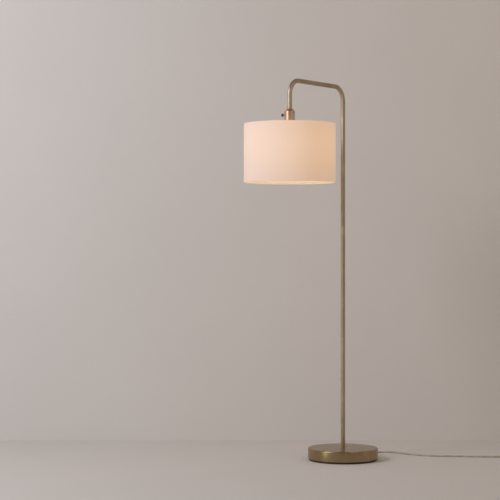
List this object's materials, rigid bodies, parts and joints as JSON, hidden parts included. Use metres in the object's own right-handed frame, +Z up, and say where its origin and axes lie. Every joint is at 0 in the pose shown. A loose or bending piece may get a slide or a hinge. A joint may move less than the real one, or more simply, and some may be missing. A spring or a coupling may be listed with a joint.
{
  "type": "arc floor lamp",
  "caption": "Floor lamp in satin antique brass with a round weighted base, a bent arm over a slim pole and a linen drum shade.",
  "frame": {"origin": "on the pole's axis at the underside of the base", "axes": "+Z up along the pole, -Y towards the arm and shade, +Y towards the cord's exit, -X towards the switch key"},
  "size_m": [0.8671, 1.0521, 1.526],
  "materials": {
    "antique_brass": "satin antique brass plating",
    "plain_brass": "machined",
    "plated_steel": "zinc or nickel plated",
    "dark_felt": "pressed felt",
    "black_tray": "matt",
    "ballast_concrete": "cast",
    "cord_plastic": "translucent champagne",
    "tie_plastic": "matt",
    "white_ceramic": "glazed",
    "black_plastic": "satin",
    "black_glass": "glossy",
    "white_plastic": "satin",
    "circuit_board": "matt",
    "opal_glass": "opal",
    "shade_linen": "fine linen weave",
    "shade_liner": "matt film",
    "white_wire": "white powder coat"
  },
  "bodies": {
    "root": {"base_cover": "antique_brass", "pole_lower": "antique_brass", "pole_middle": "antique_brass", "pole_upper": "antique_brass", "pole_foot_bush": "plain_brass", "lower_joint_bushes": "plain_brass", "middle_joint_bushes": "plain_brass", "arm_spigot": "plain_brass", "base_hollow_rod": "plated_steel", "base_lock_nut": "plated_steel", "base_lock_washer": "plated_steel", "lower_joint_stud": "plated_steel", "middle_joint_stud": "plated_steel", "base_screws": "plated_steel", "plug_pins": "plated_steel", "felt_pad": "dark_felt", "base_tray": "black_tray", "ballast_block": "ballast_concrete", "cord_gland": "cord_plastic", "mains_cord": "cord_plastic", "cord_coil": "cord_plastic", "cord_tail": "cord_plastic", "inner_flex_lower": "cord_plastic", "plug_body": "cord_plastic", "cord_tie": "tie_plastic"},
    "arm": {"arc_tube": "antique_brass", "arm_swivel_bush": "plain_brass", "arm_grub_screw": "plated_steel", "drop_bush": "plain_brass", "drop_nipple": "plated_steel", "lampholder_cup": "antique_brass", "cup_lock_nut": "plated_steel", "lampholder_core": "white_ceramic", "terminal_screws": "plated_steel", "screw_shell": "plain_brass", "centre_contact": "plain_brass", "lampholder_sleeve": "antique_brass", "shade_ring": "antique_brass", "switch_collar": "antique_brass", "switch_body": "black_plastic", "inner_flex_upper": "cord_plastic"},
    "shade": {"shade_fabric": "shade_linen", "shade_liner": "shade_liner", "shade_top_ring": "white_wire", "shade_bottom_ring": "white_wire", "shade_hub": "white_wire", "shade_arms": "white_wire"},
    "switch": {"switch_stem": "plated_steel", "switch_key": "black_plastic"},
    "bulb_travel": {"bulb_tip": "plated_steel"},
    "bulb": {"bulb_cap": "plated_steel", "bulb_insulator": "black_glass", "bulb_collar": "white_plastic", "led_board": "circuit_board", "bulb_envelope": "opal_glass"}
  },
  "joints": [
    {"name": "arm_swivel", "type": "hinge", "parent": "root", "child": "arm", "pos_m": [0, 0, 1.4], "axis": [0, 0, 1], "range_deg": [-170, 170]},
    {"name": "shade_turn", "type": "hinge", "parent": "arm", "child": "shade", "pos_m": [0, -0.38, 1.336], "axis": [0, 0, 1], "continuous": true},
    {"name": "switch_turn", "type": "hinge", "parent": "arm", "child": "switch", "pos_m": [-0.03, -0.38, 1.38], "axis": [-1, 0, 0], "continuous": true},
    {"name": "bulb_thread", "type": "slide", "parent": "arm", "child": "bulb_travel", "axis": [0, 0, -1], "range_m": [0, 0.0165]},
    {"name": "bulb_turn", "type": "hinge", "parent": "bulb_travel", "child": "bulb", "pos_m": [0, -0.38, 1.33], "axis": [0, 0, -1], "range_deg": [0, 1620]}
  ],
  "couplings": [
    {"joint": "bulb_thread", "follows": "bulb_turn", "m_per_rad": 0.00057296}
  ]
}
